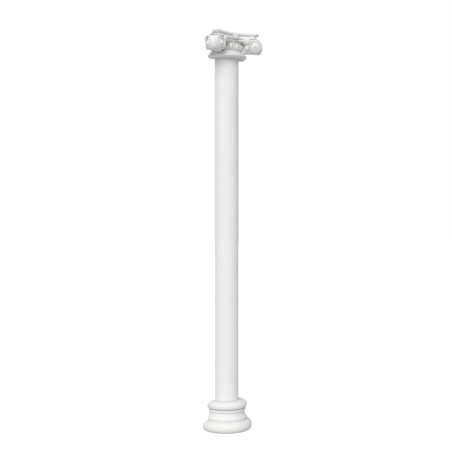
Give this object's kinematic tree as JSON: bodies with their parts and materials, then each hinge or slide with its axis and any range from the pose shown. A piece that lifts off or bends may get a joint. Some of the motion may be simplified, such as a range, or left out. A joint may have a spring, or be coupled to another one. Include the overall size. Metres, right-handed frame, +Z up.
{
  "type": "half column",
  "caption": "Wall half column: moulded base, plain half round shaft and an Ionic half capital with corner scrolls.",
  "frame": {"origin": "centre of the bounding box's underside", "axes": "+Z up the column, +Y towards the wall the flat back stands against, front along -Y"},
  "size_m": [0.442, 0.2092, 2.8296],
  "materials": {
    "base": "matt white primer on moulded rigid foam",
    "shaft": "matt white primer on moulded rigid foam",
    "capital": "matt white primer on moulded rigid foam"
  },
  "bodies": {
    "root": {"base": "base", "shaft": "shaft", "capital": "capital"}
  },
  "joints": []
}
